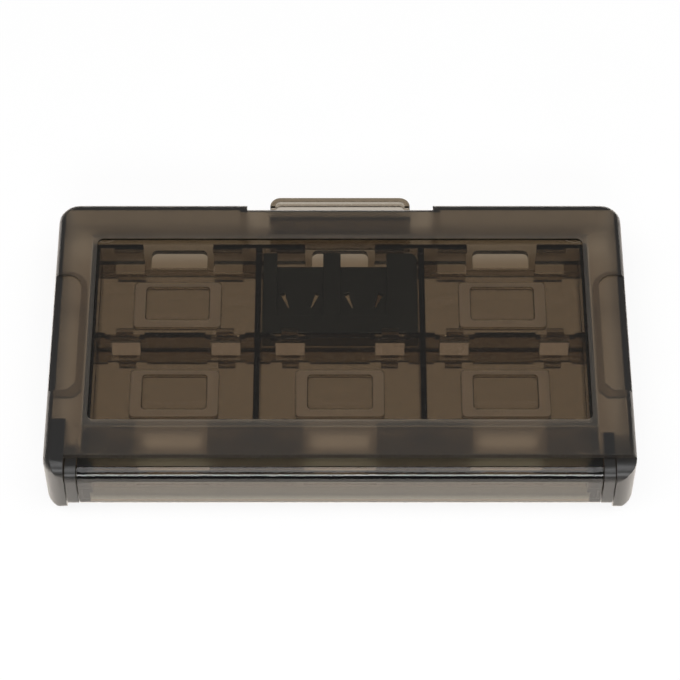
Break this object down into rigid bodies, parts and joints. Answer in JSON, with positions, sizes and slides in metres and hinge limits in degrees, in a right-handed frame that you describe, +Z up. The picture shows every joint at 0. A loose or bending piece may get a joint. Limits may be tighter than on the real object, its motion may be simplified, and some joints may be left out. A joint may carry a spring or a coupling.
{
  "type": "memory card case",
  "caption": "Smoke-tinted see-through memory card case with card cells on both faces of a hinged tray, frosted covers, polished windows and a black small-card adapter.",
  "frame": {"origin": "centre of the footprint, at the underside of the closed case", "axes": "+X along the hinge line, to the right seen from the hinge; +Y from the hinge to the finger tab; +Z up from the underside"},
  "size_m": [0.14, 0.086, 0.018],
  "materials": {
    "frosted_smoke": "frosted, see-through",
    "clear_smoke": "polished, see-through",
    "tray_smoke": "glossy, see-through",
    "black_plastic": "fine satin",
    "pin_plastic": "smooth"
  },
  "bodies": {
    "lower_shell": {"bottom_cover": "frosted_smoke", "bottom_window": "clear_smoke"},
    "tray": {"card_tray": "tray_smoke", "card_adapter": "black_plastic", "hinge_pin_left": "pin_plastic", "hinge_pin_right": "pin_plastic"},
    "upper_shell": {"top_cover": "frosted_smoke", "top_window": "clear_smoke"}
  },
  "joints": [
    {"name": "tray_hinge", "type": "hinge", "parent": "lower_shell", "child": "tray", "pos_m": [0, -0.0384, 0.009], "axis": [1, 0, 0], "range_deg": [0, 50]},
    {"name": "top_cover_hinge", "type": "hinge", "parent": "tray", "child": "upper_shell", "pos_m": [0, -0.0384, 0.009], "axis": [1, 0, 0], "range_deg": [0, 90]}
  ]
}
